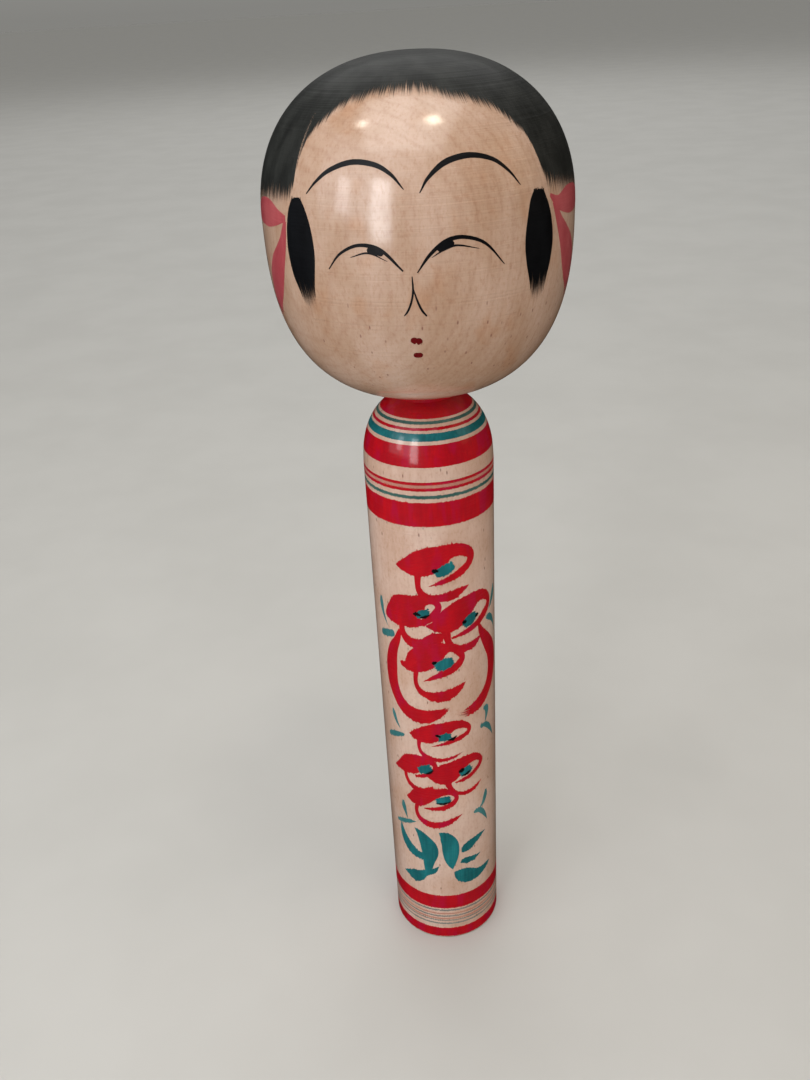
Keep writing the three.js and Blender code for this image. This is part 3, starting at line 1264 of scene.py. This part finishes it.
FACE_STROKES = {
    "brow_left": (
        Stroke((
            (-40.2, 274.4, 0.25), (-36.2, 277.3, 0.7), (-30.8, 279.9, 1.1), (-22.5, 281.6, 1.25),
            (-14, 281, 1.15), (-8.4, 278.9, 0.8), (-4.3, 275.7, 0.2),
        )),
    ),
    "brow_right": (
        Stroke((
            (0.8, 274.8, 0.2), (3.8, 277.9, 0.8), (9.9, 280.9, 1.35), (18.6, 281.9, 1.3),
            (26.9, 280.6, 1), (32.4, 277.8, 0.7), (36.6, 274.2, 0.2),
        )),
    ),
    "eye_left": (
        Stroke((
            (-31.9, 257.3, 0.25), (-27, 261.2, 0.6), (-20, 263.4, 0.8), (-12.8, 262.4, 0.9),
            (-5.6, 257.3, 0.4),
        )),
        Stroke(((-23.2, 260.5, 0.15), (-16.9, 261.6, 0.45), (-10.6, 259.7, 0.1))),
        Stroke((
            (-17.3, 262.3, 1.5), (-14.4, 262.1, 1.7), (-11.7, 261.4, 1.5),
        ), round_start=True, round_end=True),
    ),
    "eye_right": (
        Stroke((
            (-1, 256.8, 0.25), (3.3, 260.9, 0.8), (8.6, 263.8, 1), (14.2, 264.4, 0.9),
            (21.7, 262.4, 0.7), (29, 256.7, 0.2),
        )),
        Stroke(((3.8, 260.2, 0.1), (7.9, 261.8, 0.45), (12.1, 262.6, 0.45), (19.7, 261.3, 0.1))),
        Stroke((
            (5.7, 261.9, 1.6), (8.5, 262.7, 1.8), (11.3, 263.3, 1.5),
        ), round_start=True, round_end=True),
    ),
    "nose": (
        Stroke((
            (-2.8, 256, 0.25), (-2.7, 252.7, 0.5), (-3.2, 250.4, 0.5), (-4.2, 248.3, 0.5),
            (-5.2, 247, 0.45), (-6.2, 246.2, 0.2),
        )),
        Stroke((
            (-2.7, 253.2, 0.25), (-1.3, 249.7, 0.5), (0, 247.5, 0.55), (1.6, 245.9, 0.4),
        ), round_end=True),
    ),
    "side_lock_left": (
        Stroke((
            (-45.3, 273, 3.4), (-45, 270.5, 6.4), (-44.5, 266, 9.2), (-44.4, 260.5, 10.2),
            (-44.2, 255.2, 8.6), (-43.4, 250.9, 6), (-42.4, 244.8, 3.2),
        ), ragged_start=0.8, dry_from=0.5),
    ),
    "side_lock_right": (
        Stroke((
            (45, 272.2, 3.8), (44.6, 269.5, 6.8), (44.8, 264.5, 9.8), (45, 259.7, 10.8),
            (45, 255.2, 9.4), (45, 250.6, 6.6), (45.2, 244.2, 3.4),
        ), ragged_start=0.8, dry_from=0.56),
    ),
}

LIP_STROKES = (
    Stroke(((-4.6, 239.3, 1.1), (-3.4, 239.5, 1.9), (-2.4, 239.1, 1.5)), round_start=True),
    Stroke(((-2.6, 239, 1.6), (-1.6, 239.3, 1.9), (-0.3, 239, 1)), round_end=True),
    Stroke((
        (-4, 235.4, 1.2), (-2.2, 235.3, 1.5), (-0.3, 235.4, 1.3),
    ), round_start=True, round_end=True),
)

RIBBON_STROKES = {
    "ribbon_left": (
        Stroke((
            (-51.4, 268, 1.2), (-57, 267.9, 4), (-64, 268.2, 6.8), (-72, 268, 6.6), (-79, 267, 4),
            (-84, 266.4, 1),
        ), dry_from=0.8),
        Stroke((
            (-51.8, 267.4, 1.2), (-54, 262.8, 2.8), (-57, 259, 5), (-61, 255, 7.4),
            (-65, 250.6, 8.4), (-68.5, 246.2, 6.6), (-70.5, 242.4, 3.8), (-72.4, 238.6, 0.4),
        ), dry_from=0.7),
    ),
    "ribbon_right": (
        Stroke((
            (51, 270.4, 0.8), (56, 268.2, 3.2), (64, 267.8, 6.6), (73, 267.4, 6.6), (80, 267, 4),
            (84, 266.6, 1),
        ), dry_from=0.8),
        Stroke((
            (53, 268.6, 1.2), (57, 263.6, 3.2), (61, 259.6, 5.8), (66, 254.6, 9), (70.5, 249, 8.6),
            (72, 244.6, 4.6), (72.5, 240.6, 0.4),
        ), dry_from=0.7),
    ),
}


# ---- studio ---------------------------------------------------------------------------


@dataclass(frozen=True)
class Lamp:
    """A soft panel of light that faces a point on the lathe's axis, or on the floor behind it.

    Lengths are in metres, angles in degrees and the power in watts.
    """

    name: str
    azimuth: float
    elevation: float
    distance: float
    width: float
    height: float
    power: float
    colour: Colour = (1.0, 1.0, 1.0)
    aim: float = 0.2
    behind: float = 0.0
    reflected: bool = True

    def hang(self) -> None:
        """Put the lamp in the scene. Azimuths are degrees from the camera's side, towards +X."""
        data = bpy.data.lights.new(self.name, "AREA")
        data.shape = "RECTANGLE"
        data.size, data.size_y = self.width, self.height
        data.energy = self.power
        data.color = self.colour
        lamp = bpy.data.objects.new(self.name, data)
        lamp.visible_glossy = self.reflected
        bpy.context.scene.collection.objects.link(lamp)
        rise = math.radians(self.elevation)
        away = spoke(self.azimuth) * math.cos(rise) + Vector((0.0, 0.0, math.sin(rise)))
        lamp.location = Vector((0.0, self.behind, self.aim)) + away * self.distance
        lamp.rotation_euler = (-away).to_track_quat("-Z", "Y").to_euler()


@dataclass(frozen=True)
class Studio:
    """The camera, the floor, the lamps and what surrounds them.

    The floor's radius is in metres, the camera's sizes are in millimetres and degrees.
    """

    floor_radius: float = 40.0
    camera_distance: float = 281.85
    camera_height: float = 314.3
    pitch: float = 28.385
    yaw: float = -1.756
    roll: float = 3.295
    lens: float = 33.33
    sky: Colour = (0.44, 0.435, 0.42)
    horizon: Colour = (0.228, 0.225, 0.211)

    def floor(self) -> None:
        """Lay a plain round floor."""
        mesh = bmesh.new()
        bmesh.ops.create_circle(mesh, cap_ends=True, radius=self.floor_radius, segments=96)
        data = bpy.data.meshes.new("floor")
        mesh.to_mesh(data)
        mesh.free()
        data.materials.append(FloorFinish().material())
        floor = bpy.data.objects.new("floor", data)
        floor.visible_glossy = False
        bpy.context.scene.collection.objects.link(floor)

    def light(self) -> None:
        """Hang the lamps."""
        glow = (1.0, 0.52, 0.22)
        # Name, azimuth, elevation, distance, width, height, power, colour, height aimed at.
        lamps = (
            Lamp("window_bright", -25.0, 2.0, 0.64, 0.15, 0.42, 0.85, (1.0, 0.99, 1.0), 0.33),
            Lamp("window_faint", -53.0, 9.0, 0.64, 0.11, 0.24, 0.25, (1.0, 0.97, 1.0), 0.31),
            Lamp("ceiling_right", 33.0, 70.0, 1.2, 0.16, 0.16, 1.0, (1.0, 0.90, 0.72), 0.29),
            Lamp("ceiling_left", -72.0, 60.0, 1.2, 0.11, 0.11, 0.4, (1.0, 0.92, 0.78), 0.29),
            Lamp("left_panel", -50.0, 25.0, 1.0, 0.9, 1.0, 2.0, (0.88, 0.93, 1.0), 0.25),
            Lamp("top_panel", -10.0, 72.0, 0.85, 0.8, 0.8, 3.1, (1.0, 0.97, 0.93), 0.27),
            Lamp("right_panel", 78.0, 25.0, 1.6, 0.8, 1.0, 0.9, (1.0, 0.72, 0.45)),
            Lamp("low_panel", 72.0, 8.0, 0.7, 0.5, 0.16, 0.20, glow, 0.09, reflected=False),
            Lamp("back_panel", 180.0, 40.0, 1.6, 1.2, 1.0, 1.2),
            Lamp("backdrop_panel", 180.0, 90.0, 2.2, 3.0, 3.0, 26.0, aim=0.0, behind=2.6),
        )
        for lamp in lamps:
            lamp.hang()

    def surround(self) -> None:
        """Set the pale surroundings, which brighten from the horizon upwards."""
        world = bpy.data.worlds.new("studio")
        bpy.context.scene.world = world
        world.use_nodes = True
        world.cycles_visibility.glossy = False
        nodes, links = world.node_tree.nodes, world.node_tree.links
        direction = nodes.new("ShaderNodeTexCoord")
        rise = nodes.new("ShaderNodeSeparateXYZ")
        share = nodes.new("ShaderNodeMapRange")
        blend = nodes.new("ShaderNodeMix")
        blend.data_type = "RGBA"
        share.inputs["From Max"].default_value = 0.25
        blend.inputs[6].default_value = (*self.horizon, 1.0)
        blend.inputs[7].default_value = (*self.sky, 1.0)
        links.new(direction.outputs["Generated"], rise.inputs[0])
        links.new(rise.outputs["Z"], share.inputs["Value"])
        links.new(share.outputs["Result"], blend.inputs[0])
        links.new(blend.outputs[2], nodes["Background"].inputs["Color"])
        nodes["Background"].inputs["Strength"].default_value = 1.0
        bpy.context.scene.view_settings.view_transform = "Standard"

    def camera(self) -> None:
        """Place the camera a little above the head, looking down at the doll."""
        data = bpy.data.cameras.new("camera")
        data.lens = self.lens
        data.sensor_width = 36.0
        data.clip_start, data.clip_end = 0.01, 100.0
        camera = bpy.data.objects.new("camera", data)
        bpy.context.scene.collection.objects.link(camera)
        camera.location = (0.0, -self.camera_distance * MM, self.camera_height * MM)
        pitch, yaw = math.radians(self.pitch), math.radians(self.yaw)
        forward = Vector(
            (math.sin(yaw) * math.cos(pitch), math.cos(yaw) * math.cos(pitch), -math.sin(pitch))
        )
        level = forward.to_track_quat("-Z", "Y")
        camera.rotation_mode = "QUATERNION"
        camera.rotation_quaternion = level @ Quaternion(UP, -math.radians(self.roll))
        bpy.context.scene.camera = camera

    def build(self) -> None:
        """Set up the camera, the floor, the lamps and the surroundings."""
        self.camera()
        self.floor()
        self.light()
        self.surround()


def main() -> None:
    """Build the studio and the doll."""
    logging.basicConfig(level=logging.INFO, format="%(name)s: %(message)s")
    Studio().build()
    palette = Palette()
    Post(palette).build()
    Head(palette).build()


if __name__ == "__main__":
    main()
